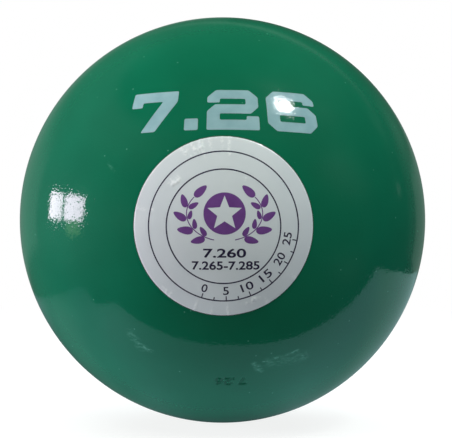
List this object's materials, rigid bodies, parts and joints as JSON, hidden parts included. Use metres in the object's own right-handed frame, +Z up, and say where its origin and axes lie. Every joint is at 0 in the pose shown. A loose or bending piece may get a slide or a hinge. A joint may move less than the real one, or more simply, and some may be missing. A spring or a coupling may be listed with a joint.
{
  "type": "shot put ball",
  "caption": "Enamelled iron throwing ball with a lead-filled core, a threaded closing plug turned flush with its surface, and a round vinyl label.",
  "frame": {"origin": "centre of the ball", "axes": "+Y along the axis of the cavity's neck, from the label at -Y to the closing plug at +Y; +Z up, as the label reads; +X to the right, seen from the label's side"},
  "size_m": [0.123, 0.1232, 0.123],
  "materials": {
    "enamelled_iron": "gloss green enamel on turned grey cast iron",
    "cast_lead": "dull grey, as poured",
    "enamelled_steel": "gloss green enamel over the turned end of a steel plug",
    "vinyl": "silver-grey printed vinyl, semi-gloss"
  },
  "bodies": {
    "root": {"iron_ball": "enamelled_iron", "lead_filling": "cast_lead", "closing_plug": "enamelled_steel", "round_label": "vinyl"}
  },
  "joints": []
}
